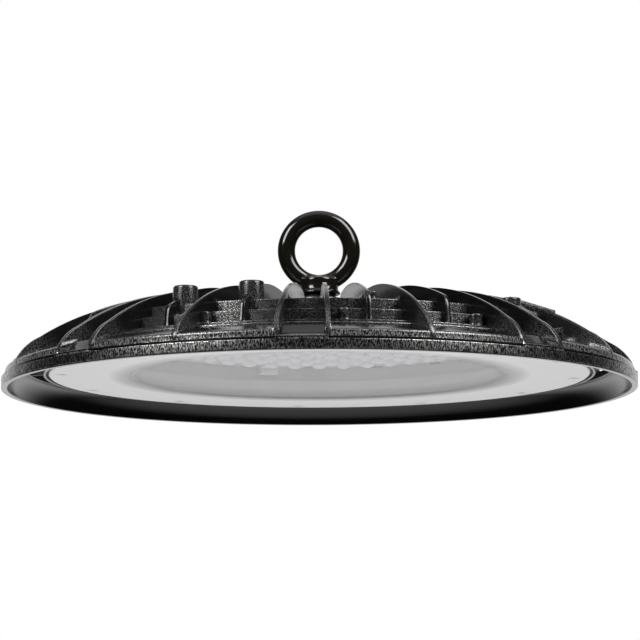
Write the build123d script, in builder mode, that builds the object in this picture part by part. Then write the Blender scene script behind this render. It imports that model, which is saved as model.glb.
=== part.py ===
from build123d import *
import os
from math import cos, radians, sin

# Round LED high bay light with a cast finned heat sink, hung from an eye bolt.
# Millimetres and degrees. The origin is the centre of the rim's lower edge, and
# the light shines towards -Z. Angles are turned from the front (-Y) towards +X.

os.makedirs("parts", exist_ok=True)

# Fits and clearances
loose_gap = 0.5  # between parts that only lie beside each other
close_gap = 0.1  # between a part and the recess that locates it
thread_gap = 0.05  # between a screw's core and its tapped hole

# LED array and its lens plate
led_rings = 6
led_pitch = 12.2
leds_per_ring_step = 6
led_size = 3.0
led_height = 0.6
dome_radius = 4.9
dome_sides = 6  # few-sided, so that 127 of them stay light
dome_height = 3.7
dome_bevel = 1.9
lens_plate_thickness = 0.7
lens_plate_border = 2.4
lens_plate_rim = 1.2

# Board, its screws and the thermal pad
board_thickness = 1.2
pad_thickness = 0.3
board_screw_count = 6
board_screw_angle = -162.5
board_screw_radius = 1.3
board_screw_length = 4.0
board_head_radius = 2.8
board_head_height = 1.8
parts_zone = 12.8  # from the lens plate's edge to the circle of driver parts

# Reflector
reflector_reach = 11.7  # from the circle of driver parts to the bore
reflector_step = 3.0
reflector_wall = 1.2
reflector_draft = 0.3
reflector_grip = 2.9  # flange width that the casting backs

# Heights, from the lower edge of the rim up
cover_height = 7.0
cover_thickness = 2.2
gasket_thickness = 1.2
flange_thickness = 5.6
foot_step = 1.8
lower_wall_height = 6.2
ledge_slope = 0.5
upper_wall_height = 5.5
plate_thickness = 3.5
reflector_height = 8.8  # from the cover up to the step in the bore

# Casting, radial widths from the cavity outwards
cavity_gap = 6.3
casting_wall = 3.5
ledge_width = 6.5
lower_wall = 4.5
boss_stand = 4.0  # from the lower wall to the circle of cover screws
cover_edge = 6.7  # from the circle of cover screws to the cover's edge
cover_gap = 1.3
flange_lip = 1.5
foot_width = 8.0
air_gap = 8.5
ring_width = 12.5

# Ring at the rim
lip_width = 3.0
band_height = 6.5
band_step = 2.0
upper_band_height = 3.3
crown_rise = 3.5
skirt_drop = 3.3
scoop_lip = 0.7
scoop_depth = 1.7

# Fins
fin_count = 40
fins_per_group = 5
long_fins_in_group = (0, 2, 4)
first_fin_angle = 1.56
fin_top_width = 1.9
fin_foot_width = 2.9
fin_start_radius = 57.0
fin_rise_length = 9.0
fin_height = 11.9
fin_shoulder_back = 18.0  # from the upper wall in to the ridge's shoulder
fin_shoulder_drop = 2.2
fin_knee_radius_back = 12.0  # from the fin's outer end in to its knee
fin_knee_height = 11.4
fin_bridge_drop = 2.8
short_fin_reach = 10.5
short_fin_lean = 3.0

# Round bosses on the casting
eye_boss_radius = 12.5
eye_boss_height = 16.3
eye_boss_draft = 6.0
bracket_positions = (16, 36)
line_positions = (18, 38)
low_post_positions = (6, 26)
post_radius = 6.0
post_height = 9.5
low_post_radius = 5.0
low_post_height = 7.2
post_inset = 5.5  # from the upper wall in to the post's axis
bracket_hole_radius = 2.5
line_hole_radius = 2.1
post_hole_depth = 11.0
nub_angle = 12.6
nub_radius = 2.1
nub_height = 5.5
nub_inset = 3.0  # from the upper wall in to the nub's axis
land_position = 7
land_start = 0.14  # shares of the ridge's slope at which the land starts and ends
land_end = 0.57
land_width = 2.6
land_thickness = 1.4
lug_angle = 50.9
lug_width = 2.0
lug_height = 6.2
lug_length = 3.0
screw_boss_radius = 3.3

# Cover screws
cover_screw_count = 12
cover_screw_angle = 5.2
cover_screw_radius = 1.6
cover_screw_length = 12.5
cover_head_radius = 3.1
cover_head_height = 1.5
screw_hole_extra = 0.3

# Eye bolt and spring washer
eye_ring_radius = 16.5
eye_bar_radius = 4.2
eye_centre_rise = 22.5  # from the collar's seat to the ring's centre
collar_radius = 11.0
collar_height = 2.2
neck_radius = 8.6
neck_height = 8.2
shank_radius = 4.25
shank_length = 13.0
spring_washer_thickness = 2.2
spring_washer_radius = 8.6
spring_washer_split = 1.6

# Cable gland
gland_position = 20
gland_inset = 13.6  # from the upper wall in to the gland's axis
gland_pad_radius = 13.0
gland_pad_height = 4.0
gland_thread_radius = 8.0
gland_thread_length = 6.8
gland_hex_width = 22.0
gland_hex_height = 5.0
gland_neck_radius = 7.6
gland_neck_height = 8.0
gland_cap_height = 13.0
gland_cap_round = 3.0
gland_bore_radius = 4.2
gland_seal_radius = 6.0
gland_seal_height = 7.0
o_ring_thickness = 1.5
o_ring_width = 1.9

# Driver parts soldered to the board
terminal_angle = -164.6
terminal_width = 9.3
terminal_length = 7.0
terminal_height = 4.5
terminal_groove = 1.0
terminal_stand = 9.1  # from the circle of driver parts out to its centre
terminal_entry_radius = 1.2
rectifier_angle = 0.0
rectifier_size = (9.0, 7.0, 2.6)
fuse_angle = -14.0
fuse_radius = 2.6
fuse_length = 9.5
varistor_angle = -28.0
varistor_radius = 5.2
varistor_thickness = 3.8
chip_angles = (30.0, 42.0, 54.0, 66.0, -56.0, -68.0, -80.0, -92.0)
chip_size = (5.0, 4.0, 1.5)
resistor_angles = (36.0, 48.0, 60.0, -62.0, -74.0, -86.0)
resistor_size = (3.2, 1.6, 0.6)
earth_screw_angle = 191.0
earth_screw_radius = 1.6
earth_screw_length = 2.6
earth_head_radius = 2.5
earth_head_height = 2.0

# Radii that follow from the widths
lens_plate_radius = led_pitch * led_rings + dome_radius + lens_plate_border
parts_circle = lens_plate_radius + parts_zone
reflector_bore = parts_circle + reflector_reach
upper_bore = reflector_bore + reflector_step
board_radius = upper_bore - loose_gap
cavity_radius = upper_bore + reflector_wall + cavity_gap
upper_wall_radius = cavity_radius + casting_wall
lower_wall_radius = upper_wall_radius + ledge_width
lower_cavity_radius = lower_wall_radius - lower_wall
reflector_flange_radius = lower_cavity_radius + reflector_grip
screw_circle = lower_wall_radius + boss_stand
cover_radius = screw_circle + cover_edge
lip_bore = cover_radius + cover_gap
flange_radius = lip_bore + flange_lip
ring_bore = flange_radius + air_gap
rim_radius = ring_bore + ring_width
upper_band_radius = rim_radius - band_step

# Heights that follow from the thicknesses
cover_top = cover_height + cover_thickness
seat_height = cover_top + gasket_thickness
flange_top = seat_height + flange_thickness
foot_top = flange_top + foot_step
lower_wall_top = foot_top + lower_wall_height
ledge_top = lower_wall_top + ledge_slope
plate_top = ledge_top + upper_wall_height
plate_under = plate_top - plate_thickness
board_face = plate_under - pad_thickness - board_thickness
shoulder_height = lower_wall_top - casting_wall + loose_gap
upper_band_top = band_height + upper_band_height
crown_top = upper_band_top + crown_rise
crown_foot = crown_top - skirt_drop
ridge_top = plate_top + fin_height
post_top = plate_top + post_height
low_post_top = plate_top + low_post_height
eye_seat = plate_top + eye_boss_height
collar_seat = eye_seat + spring_washer_thickness
eye_centre = collar_seat + eye_centre_rise
gland_seat = plate_top + gland_pad_height


def turned(angle):
    """Angle from +X of a direction given from the front (-Y) towards +X."""
    return angle - 90


def fin_angle(position):
    """Angle from +X of one of the fin positions."""
    return turned(first_fin_angle + position * 360 / fin_count)


def at_angles(angles, radius=0.0, height=0.0):
    """Locations on a circle, each turned to face away from the centre."""
    return [
        Location((radius * cos(radians(a)), radius * sin(radians(a)), height), (0, 0, a))
        for a in angles
    ]


post_circle = upper_wall_radius - post_inset
gland_circle = upper_wall_radius - gland_inset
gland_spot = at_angles([fin_angle(gland_position)], gland_circle)
cover_screw_start = turned(cover_screw_angle)
board_screw_start = turned(board_screw_angle)

# Long fin: a drafted blade with an arched ridge, from the middle out to the rim
fin_end_height = upper_band_top
knee = (upper_band_radius - fin_knee_radius_back, fin_end_height + fin_knee_height)
shoulder = (upper_wall_radius - fin_shoulder_back, ridge_top - fin_shoulder_drop)
crest_start = (fin_start_radius + fin_rise_length, ridge_top - 1)
crest_middle = ((crest_start[0] + shoulder[0]) / 2, ridge_top)
slope_middle = ((shoulder[0] + knee[0]) / 2, (shoulder[1] + knee[1]) / 2 + 2.5)
drop_middle = ((knee[0] + upper_band_radius) / 2 + 1, (knee[1] + fin_end_height) / 2 + 0.9)
fin_root = plate_under + plate_thickness / 2
with BuildPart() as long_fin:
    with BuildSketch(Plane.XZ):
        with BuildLine():
            rise = TangentArc(
                (fin_start_radius, plate_top), crest_start, tangent=(0, 1)
            )
            ThreePointArc(rise @ 1, crest_middle, shoulder)
            slope = ThreePointArc(shoulder, slope_middle, knee)
            drop = ThreePointArc(knee, drop_middle, (upper_band_radius, fin_end_height))
            Polyline(
                drop @ 1,
                (upper_band_radius, band_height - 1),
                (rim_radius - ring_width / 2, crown_foot - 1.5),
                (ring_bore + 1, crown_top - fin_bridge_drop),
                (flange_radius - 1, crown_top - fin_bridge_drop),
                (flange_radius - 1, flange_top - flange_thickness / 2),
                (lower_wall_radius - 1, flange_top - flange_thickness / 2),
                (lower_wall_radius - 1, lower_wall_top - 1),
                (upper_wall_radius - 1, lower_wall_top - 1),
                (upper_wall_radius - 1, fin_root),
                (fin_start_radius, fin_root),
                (fin_start_radius, plate_top),
            )
        make_face()
    extrude(amount=fin_foot_width, both=True)
    with BuildSketch(Plane.YZ):
        Polygon(
            (-fin_foot_width / 2, 0),
            (fin_foot_width / 2, 0),
            (fin_top_width / 2, ridge_top + 1),
            (-fin_top_width / 2, ridge_top + 1),
            align=None,
        )
    extrude(amount=rim_radius, mode=Mode.INTERSECT)

# Short fin: the same blade, cut off just outside the upper wall
short_end = upper_wall_radius + short_fin_reach
with BuildPart() as short_fin:
    add(long_fin.part)
    with BuildSketch(Plane.XZ):
        Polygon(
            (short_end, 0),
            (short_end, foot_top),
            (short_end - short_fin_lean, ridge_top + 1),
            (rim_radius + 1, ridge_top + 1),
            (rim_radius + 1, 0),
            align=None,
        )
    extrude(amount=fin_foot_width, both=True, mode=Mode.SUBTRACT)

# Fin at a post: lowered outside the post in a hollow curve
with BuildPart() as post_fin:
    add(short_fin.part)
    with BuildSketch(Plane.XZ):
        with BuildLine():
            sag = ThreePointArc(
                (post_circle, post_top - 1.5),
                (post_circle + post_radius + 2.5, plate_top + 1.2),
                (short_end + 1, plate_top - 2.2),
            )
            Polyline(
                sag @ 1,
                (short_end + 1, ridge_top + 1),
                (post_circle, ridge_top + 1),
                sag @ 0,
            )
        make_face()
    extrude(amount=fin_foot_width, both=True, mode=Mode.SUBTRACT)

# Scoop: what is missing from the ring between two neighbouring long fins
scoop_span = 360 / fin_count
with BuildPart() as scoop:
    with BuildSketch(Plane.XZ):
        with BuildLine():
            hollow = ThreePointArc(
                (rim_radius - scoop_lip, band_height),
                (
                    rim_radius - ring_width / 2 + 0.3,
                    (band_height + crown_top) / 2 - scoop_depth,
                ),
                (ring_bore, crown_top),
            )
            Polyline(
                hollow @ 1,
                (ring_bore, crown_top + 1),
                (rim_radius + 1, crown_top + 1),
                (rim_radius + 1, band_height),
                hollow @ 0,
            )
        make_face()
    revolve(axis=Axis.Z, revolution_arc=scoop_span)

# Heat sink: one casting with the ring, the body, the fins and all the bosses
positions = range(fin_count)
tapped_positions = bracket_positions + line_positions
post_positions = tapped_positions + low_post_positions
long_positions = [k for k in positions if k % fins_per_group in long_fins_in_group]
short_positions = [
    k for k in positions if k not in long_positions and k not in post_positions
]
group_count = fin_count // fins_per_group
scoop_angles = [
    fin_angle(fins_per_group * (group + 1) - 1) for group in range(group_count)
]
with BuildPart() as heat_sink:
    with BuildSketch(Plane.XZ):
        Polygon(
            (rim_radius - lip_width, 0),
            (rim_radius, 0),
            (rim_radius, band_height),
            (upper_band_radius, band_height),
            (upper_band_radius, upper_band_top),
            (ring_bore, crown_top),
            (ring_bore, crown_foot),
            align=None,
        )
    revolve(axis=Axis.Z)
    with Locations(*at_angles(scoop_angles)):
        add(scoop.part, mode=Mode.SUBTRACT)
    with BuildSketch(Plane.XZ):
        Polygon(
            (0, cover_height),
            (flange_radius, cover_height),
            (flange_radius, flange_top),
            (lower_wall_radius + foot_width, flange_top),
            (lower_wall_radius + foot_width, foot_top),
            (lower_wall_radius, foot_top),
            (lower_wall_radius, lower_wall_top),
            (upper_wall_radius, ledge_top),
            (upper_wall_radius, plate_top),
            (0, plate_top),
            align=None,
        )
    revolve(axis=Axis.Z)
    with Locations(*at_angles([fin_angle(k) for k in long_positions])):
        add(long_fin.part)
    with Locations(*at_angles([fin_angle(k) for k in short_positions])):
        add(short_fin.part)
    with Locations(*at_angles([fin_angle(k) for k in post_positions])):
        add(post_fin.part)
    # Eye bolt boss
    with BuildSketch(Plane.XY.offset(eye_seat)):
        Circle(eye_boss_radius)
    extrude(amount=-(eye_boss_height + 1), taper=-eye_boss_draft)
    # Tapped posts, lower plain posts and the small cast nub
    with BuildSketch(Plane.XY.offset(post_top)):
        with Locations(*at_angles([fin_angle(k) for k in tapped_positions], post_circle)):
            Circle(post_radius)
    extrude(amount=ledge_top - post_top)
    with BuildSketch(Plane.XY.offset(low_post_top)):
        with Locations(*at_angles([fin_angle(k) for k in low_post_positions], post_circle)):
            Circle(low_post_radius)
    extrude(amount=ledge_top - low_post_top)
    with BuildSketch(Plane.XY.offset(fin_root)):
        with Locations(*at_angles([turned(nub_angle)], upper_wall_radius - nub_inset)):
            Circle(nub_radius)
    extrude(amount=plate_top + nub_height - fin_root)
    # Screw bosses against the lower wall
    with BuildSketch(Plane.XY.offset(flange_top - 1)):
        with PolarLocations(screw_circle, cover_screw_count, cover_screw_start):
            Circle(screw_boss_radius)
    extrude(amount=lower_wall_top - flange_top + 1 - loose_gap)
    # Bare raised land along one fin's ridge
    land_from = slope @ land_start
    land_to = slope @ land_end
    with BuildSketch(Plane.XZ.rotated((0, 0, fin_angle(land_position)))):
        Polygon(
            (land_from.X, land_from.Y - fin_top_width),
            (land_to.X, land_to.Y - fin_top_width),
            (land_to.X, land_to.Y + land_thickness),
            (land_from.X, land_from.Y + land_thickness),
            align=None,
        )
    extrude(amount=land_width / 2, both=True)
    # Upright lug on the ring
    with BuildSketch(Plane.XY.offset(crown_foot)):
        with Locations(*at_angles([turned(lug_angle)], ring_bore + lug_length / 2)):
            Rectangle(lug_length, lug_width)
    extrude(amount=crown_top - crown_foot + lug_height - 1)
    # Round pad for the cable gland, with the fin cut back around it
    with BuildSketch(Plane.XY.offset(gland_seat)):
        with Locations(*gland_spot):
            Circle(gland_pad_radius)
    extrude(amount=ridge_top - gland_seat + 1, mode=Mode.SUBTRACT)
    with BuildSketch(Plane.XY.offset(fin_root)):
        with Locations(*gland_spot):
            Circle(gland_pad_radius)
    extrude(amount=gland_seat - fin_root)
    # Cavity for the board and the reflector, opening down to the cover's seat
    with BuildSketch(Plane.XZ):
        Polygon(
            (0, cover_height),
            (0, plate_under),
            (cavity_radius, plate_under),
            (cavity_radius, shoulder_height),
            (lower_cavity_radius, shoulder_height),
            (lower_cavity_radius, seat_height),
            (lip_bore, seat_height),
            (lip_bore, cover_height),
            align=None,
        )
    revolve(axis=Axis.Z, mode=Mode.SUBTRACT)
    # Holes
    with BuildSketch(Plane.XY.offset(gland_seat)):
        with Locations(*gland_spot):
            Circle(gland_thread_radius + thread_gap)
    extrude(amount=plate_under - gland_seat, mode=Mode.SUBTRACT)
    with BuildSketch(Plane.XY.offset(eye_seat)):
        Circle(shank_radius + thread_gap)
    extrude(amount=-(shank_length + 0.5), mode=Mode.SUBTRACT)
    with BuildSketch(Plane.XY.offset(post_top)):
        with Locations(*at_angles([fin_angle(k) for k in bracket_positions], post_circle)):
            Circle(bracket_hole_radius)
        with Locations(*at_angles([fin_angle(k) for k in line_positions], post_circle)):
            Circle(line_hole_radius)
    extrude(amount=-post_hole_depth, mode=Mode.SUBTRACT)
    with BuildSketch(Plane.XY.offset(seat_height)):
        with PolarLocations(screw_circle, cover_screw_count, cover_screw_start):
            Circle(cover_screw_radius + thread_gap)
    extrude(
        amount=cover_height + cover_screw_length + loose_gap - seat_height,
        mode=Mode.SUBTRACT,
    )
    with BuildSketch(Plane.XY.offset(plate_under)):
        with PolarLocations(parts_circle, board_screw_count, board_screw_start):
            Circle(board_screw_radius + thread_gap)
    extrude(
        amount=board_face + board_screw_length + 0.2 - plate_under, mode=Mode.SUBTRACT
    )
    earth_circle = (cavity_radius + lower_cavity_radius) / 2
    with BuildSketch(Plane.XY.offset(shoulder_height)):
        with Locations(*at_angles([turned(earth_screw_angle)], earth_circle)):
            Circle(earth_screw_radius + thread_gap)
    extrude(amount=earth_screw_length + 0.1, mode=Mode.SUBTRACT)
heat_sink.part.label = "heat_sink"
export_step(heat_sink.part, "parts/heat_sink.step")

# Cover: clear disc with countersunk holes near its edge
with BuildPart() as lens_cover:
    with BuildSketch(Plane.XY.offset(cover_height)):
        Circle(cover_radius)
    extrude(amount=cover_thickness)
    chamfer(lens_cover.edges().group_by(Axis.Z)[0], length=0.5)
    with BuildSketch(Plane.XY.offset(cover_height)):
        with PolarLocations(screw_circle, cover_screw_count, cover_screw_start):
            Circle(cover_screw_radius + screw_hole_extra)
    extrude(amount=cover_thickness, mode=Mode.SUBTRACT)
    with BuildSketch(Plane.XY.offset(cover_height)):
        with PolarLocations(screw_circle, cover_screw_count, cover_screw_start):
            Circle(cover_head_radius + close_gap)
    extrude(amount=cover_head_height, mode=Mode.SUBTRACT)
lens_cover.part.label = "lens_cover"
export_step(lens_cover.part, "parts/lens_cover.step")

# Gasket between the cover and the casting
with BuildPart() as lens_gasket:
    with BuildSketch(Plane.XY.offset(cover_top)):
        Circle(cover_radius)
        Circle(reflector_flange_radius + loose_gap, mode=Mode.SUBTRACT)
        with PolarLocations(screw_circle, cover_screw_count, cover_screw_start):
            Circle(cover_screw_radius + screw_hole_extra, mode=Mode.SUBTRACT)
    extrude(amount=gasket_thickness)
lens_gasket.part.label = "lens_gasket"
export_step(lens_gasket.part, "parts/lens_gasket.step")

# Twelve flat-headed cover screws
with BuildPart() as lens_screws:
    with BuildSketch(Plane.XY.offset(cover_height)):
        with PolarLocations(screw_circle, cover_screw_count, cover_screw_start):
            Circle(cover_head_radius)
    extrude(amount=cover_head_height)
    with BuildSketch(Plane.XY.offset(cover_height)):
        with PolarLocations(screw_circle, cover_screw_count, cover_screw_start):
            Circle(cover_screw_radius)
    extrude(amount=cover_screw_length)
lens_screws.part.label = "lens_screws"
export_step(lens_screws.part, "parts/lens_screws.step")

# Reflector: white moulded ring that lines the cavity
reflector_foot = seat_height - reflector_wall
step_height = cover_top + reflector_height
reflector_top = plate_under - loose_gap
with BuildPart() as reflector:
    with BuildSketch(Plane.XZ):
        Polygon(
            (reflector_bore, reflector_foot),
            (reflector_flange_radius, reflector_foot),
            (reflector_flange_radius, seat_height),
            (reflector_bore + reflector_wall + reflector_draft, seat_height),
            (reflector_bore + reflector_wall + reflector_draft, step_height - reflector_wall),
            (upper_bore + reflector_wall, step_height - reflector_wall),
            (upper_bore + reflector_wall, reflector_top),
            (upper_bore, reflector_top),
            (upper_bore, step_height),
            (reflector_bore + reflector_draft, step_height),
            align=None,
        )
    revolve(axis=Axis.Z)
reflector.part.label = "reflector"
export_step(reflector.part, "parts/reflector.step")

# Board with a notch in its edge under the gland, and the thermal pad behind it
notch_width = 2 * (gland_bore_radius + screw_hole_extra + loose_gap)
notch_spot = at_angles([fin_angle(gland_position)], gland_circle + notch_width / 2)
with BuildPart() as led_board:
    with BuildSketch(Plane.XY.offset(board_face)):
        Circle(board_radius)
        with Locations(*notch_spot):
            Rectangle(2 * notch_width, notch_width, mode=Mode.SUBTRACT)
        with PolarLocations(parts_circle, board_screw_count, board_screw_start):
            Circle(board_screw_radius + screw_hole_extra, mode=Mode.SUBTRACT)
    extrude(amount=board_thickness)
led_board.part.label = "led_board"
export_step(led_board.part, "parts/led_board.step")

with BuildPart() as thermal_pad:
    with BuildSketch(Plane.XY.offset(plate_under - pad_thickness)):
        Circle(board_radius)
        with Locations(*gland_spot):
            Circle(gland_thread_radius + loose_gap, mode=Mode.SUBTRACT)
        with PolarLocations(parts_circle, board_screw_count, board_screw_start):
            Circle(board_screw_radius + screw_hole_extra, mode=Mode.SUBTRACT)
    extrude(amount=pad_thickness)
thermal_pad.part.label = "thermal_pad"
export_step(thermal_pad.part, "parts/thermal_pad.step")

with BuildPart() as board_screws:
    with BuildSketch(Plane.XY.offset(board_face)):
        with PolarLocations(parts_circle, board_screw_count, board_screw_start):
            Circle(board_head_radius)
    extrude(amount=-board_head_height)
    chamfer(board_screws.edges().group_by(Axis.Z)[0], length=board_head_height / 3)
    with BuildSketch(Plane.XY.offset(board_face)):
        with PolarLocations(parts_circle, board_screw_count, board_screw_start):
            Circle(board_screw_radius)
    extrude(amount=board_screw_length)
board_screws.part.label = "board_screws"
export_step(board_screws.part, "parts/board_screws.step")

# LED chips in rings, and the moulded lens plate with a dome over each
led_spots = [Location((0, 0, 0))]
for ring in range(1, led_rings + 1):
    ring_count = ring * leds_per_ring_step
    ring_angles = [step * 360 / ring_count for step in range(ring_count)]
    led_spots += at_angles(ring_angles, ring * led_pitch)
with BuildPart() as led_chips:
    with BuildSketch(Plane.XY.offset(board_face)):
        with Locations(*led_spots):
            Rectangle(led_size, led_size)
    extrude(amount=-led_height)
led_chips.part.label = "led_chips"
export_step(led_chips.part, "parts/led_chips.step")

with BuildPart() as lens_dome:
    with BuildSketch(Plane.XY):
        RegularPolygon(dome_radius, dome_sides)
    extrude(amount=-dome_height)
    chamfer(lens_dome.faces().sort_by(Axis.Z)[0].edges(), length=dome_bevel)

lens_plate_back = board_face - led_height - close_gap
lens_plate_face = lens_plate_back - lens_plate_thickness
with BuildPart() as lens_array:
    with BuildSketch(Plane.XY.offset(lens_plate_face)):
        Circle(lens_plate_radius)
    extrude(amount=lens_plate_thickness)
    with BuildSketch(Plane.XY.offset(lens_plate_back)):
        Circle(lens_plate_radius)
        Circle(lens_plate_radius - lens_plate_rim, mode=Mode.SUBTRACT)
    extrude(amount=board_face - lens_plate_back)
    with Locations(*[spot * Pos(0, 0, lens_plate_face) for spot in led_spots]):
        add(lens_dome.part)
lens_array.part.label = "lens_array"
export_step(lens_array.part, "parts/lens_array.step")

# Two-pole terminal block with a groove across its front and entries at the back
with BuildPart() as terminal_block:
    terminal_spot = at_angles([turned(terminal_angle)], parts_circle + terminal_stand)
    with BuildSketch(Plane.XY.offset(board_face)):
        with Locations(*terminal_spot):
            Rectangle(terminal_length, terminal_width)
    extrude(amount=-terminal_height)
    with BuildSketch(Plane.XY.offset(board_face - terminal_height / 2)):
        with Locations(
            *at_angles(
                [turned(terminal_angle)],
                parts_circle + terminal_stand - terminal_length / 2,
            )
        ):
            Rectangle(terminal_groove, terminal_width)
    extrude(amount=terminal_groove / 2, both=True, mode=Mode.SUBTRACT)
    entry_plane = Plane.YZ.rotated((0, 0, turned(terminal_angle)))
    with BuildSketch(entry_plane.offset(parts_circle + terminal_stand)):
        with Locations((0, board_face - terminal_height / 2)):
            with GridLocations(terminal_width / 2, 1, 2, 1):
                Circle(terminal_entry_radius)
    extrude(amount=terminal_length, mode=Mode.SUBTRACT)
terminal_block.part.label = "terminal_block"
export_step(terminal_block.part, "parts/terminal_block.step")

# Driver parts on the near side of the board
with BuildPart() as rectifier:
    with BuildSketch(Plane.XY.offset(board_face)):
        with Locations(*at_angles([turned(rectifier_angle)], parts_circle)):
            Rectangle(rectifier_size[1], rectifier_size[0])
    extrude(amount=-rectifier_size[2])
    chamfer(rectifier.edges().group_by(Axis.Z)[0], length=0.4)
rectifier.part.label = "rectifier"
export_step(rectifier.part, "parts/rectifier.step")

fuse_plane = Plane.YZ.rotated((0, 0, turned(fuse_angle))).offset(parts_circle)
with BuildPart() as fuse:
    with BuildSketch(fuse_plane.offset(-fuse_length / 2)):
        with Locations((0, board_face - fuse_radius)):
            Circle(fuse_radius)
    extrude(amount=fuse_length)
fuse.part.label = "fuse"
export_step(fuse.part, "parts/fuse.step")

varistor_plane = Plane.YZ.rotated((0, 0, turned(varistor_angle))).offset(parts_circle)
with BuildPart() as varistor:
    with BuildSketch(varistor_plane.offset(-varistor_thickness / 2)):
        with Locations((0, board_face - varistor_radius)):
            Circle(varistor_radius)
    extrude(amount=varistor_thickness)
    chamfer(varistor.edges().filter_by(GeomType.CIRCLE), length=varistor_thickness / 4)
varistor.part.label = "varistor"
export_step(varistor.part, "parts/varistor.step")

with BuildPart() as driver_chips:
    with BuildSketch(Plane.XY.offset(board_face)):
        with Locations(*at_angles([turned(a) for a in chip_angles], parts_circle)):
            Rectangle(chip_size[0], chip_size[1])
    extrude(amount=-chip_size[2])
driver_chips.part.label = "driver_chips"
export_step(driver_chips.part, "parts/driver_chips.step")

with BuildPart() as sense_resistors:
    with BuildSketch(Plane.XY.offset(board_face)):
        with Locations(*at_angles([turned(a) for a in resistor_angles], parts_circle)):
            Rectangle(resistor_size[0], resistor_size[1])
    extrude(amount=-resistor_size[2])
sense_resistors.part.label = "sense_resistors"
export_step(sense_resistors.part, "parts/sense_resistors.step")

# Earth screw in the shoulder of the cavity
with BuildPart() as earth_screw:
    with BuildSketch(Plane.XY.offset(shoulder_height)):
        with Locations(*at_angles([turned(earth_screw_angle)], earth_circle)):
            Circle(earth_head_radius)
    extrude(amount=-earth_head_height)
    with BuildSketch(Plane.XY.offset(shoulder_height)):
        with Locations(*at_angles([turned(earth_screw_angle)], earth_circle)):
            Circle(earth_screw_radius)
    extrude(amount=earth_screw_length)
earth_screw.part.label = "earth_screw"
export_step(earth_screw.part, "parts/earth_screw.step")

# Eye bolt: forged ring on a flared collar, with a plain core for the thread
with BuildPart() as eye_bolt:
    with BuildSketch(Plane.XZ):
        with BuildLine():
            Line((0, collar_seat), (collar_radius - 0.6, collar_seat))
            Line((collar_radius - 0.6, collar_seat), (collar_radius, collar_seat + 0.6))
            Line(
                (collar_radius, collar_seat + 0.6),
                (collar_radius, collar_seat + collar_height),
            )
            ThreePointArc(
                (collar_radius, collar_seat + collar_height),
                (neck_radius + 0.9, collar_seat + 0.55 * neck_height),
                (neck_radius, collar_seat + neck_height),
            )
            Line(
                (neck_radius, collar_seat + neck_height),
                (0, collar_seat + neck_height),
            )
            Line((0, collar_seat + neck_height), (0, collar_seat))
        make_face()
    revolve(axis=Axis.Z)
    with Locations((0, 0, eye_centre)):
        Torus(eye_ring_radius, eye_bar_radius, rotation=(90, 0, 0))
    with BuildSketch(Plane.XY.offset(collar_seat)):
        Circle(shank_radius)
    extrude(amount=-(spring_washer_thickness + shank_length))
eye_bolt.part.label = "eye_bolt"
export_step(eye_bolt.part, "parts/eye_bolt.step")

# Split spring washer under the collar
with BuildPart() as spring_washer:
    with BuildSketch(Plane.XY.offset(eye_seat)):
        Circle(spring_washer_radius)
        Circle(shank_radius + screw_hole_extra, mode=Mode.SUBTRACT)
        with Locations((0, spring_washer_radius)):
            Rectangle(spring_washer_split, 2 * spring_washer_radius, mode=Mode.SUBTRACT)
    extrude(amount=spring_washer_thickness)
spring_washer.part.label = "spring_washer"
export_step(spring_washer.part, "parts/spring_washer.step")

# Cable gland: threaded body, sealing ring under its hexagon, rubber seal and cap
o_ring_top = gland_seat + o_ring_thickness
gland_hex_top = o_ring_top + gland_hex_height
gland_neck_top = gland_hex_top + gland_neck_height
gland_seal_foot = gland_neck_top - gland_seal_height
gland_cap_foot = gland_hex_top + loose_gap
with BuildPart() as gland_body:
    with BuildSketch(Plane.XY.offset(o_ring_top)):
        with Locations(*gland_spot):
            RegularPolygon(gland_hex_width / 2, 6, major_radius=False)
    extrude(amount=gland_hex_height)
    with BuildSketch(Plane.XY.offset(gland_hex_top)):
        with Locations(*gland_spot):
            Circle(gland_neck_radius)
    extrude(amount=gland_neck_height)
    with BuildSketch(Plane.XY.offset(o_ring_top)):
        with Locations(*gland_spot):
            Circle(gland_thread_radius)
    extrude(amount=-(o_ring_thickness + gland_thread_length))
    with BuildSketch(Plane.XY.offset(gland_neck_top)):
        with Locations(*gland_spot):
            Circle(gland_bore_radius + screw_hole_extra)
    extrude(
        amount=-(gland_neck_height + gland_hex_height + o_ring_thickness + gland_thread_length),
        mode=Mode.SUBTRACT,
    )
    with BuildSketch(Plane.XY.offset(gland_neck_top)):
        with Locations(*gland_spot):
            Circle(gland_seal_radius)
    extrude(amount=-gland_seal_height, mode=Mode.SUBTRACT)
gland_body.part.label = "gland_body"
export_step(gland_body.part, "parts/gland_body.step")

with BuildPart() as gland_o_ring:
    with BuildSketch(Plane.XY.offset(gland_seat)):
        with Locations(*gland_spot):
            Circle(gland_thread_radius + close_gap + o_ring_width)
            Circle(gland_thread_radius + close_gap, mode=Mode.SUBTRACT)
    extrude(amount=o_ring_thickness)
gland_o_ring.part.label = "gland_o_ring"
export_step(gland_o_ring.part, "parts/gland_o_ring.step")

with BuildPart() as gland_seal:
    with BuildSketch(Plane.XY.offset(gland_seal_foot)):
        with Locations(*gland_spot):
            Circle(gland_seal_radius - close_gap)
            Circle(gland_bore_radius, mode=Mode.SUBTRACT)
    extrude(amount=gland_seal_height)
gland_seal.part.label = "gland_seal"
export_step(gland_seal.part, "parts/gland_seal.step")

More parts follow.
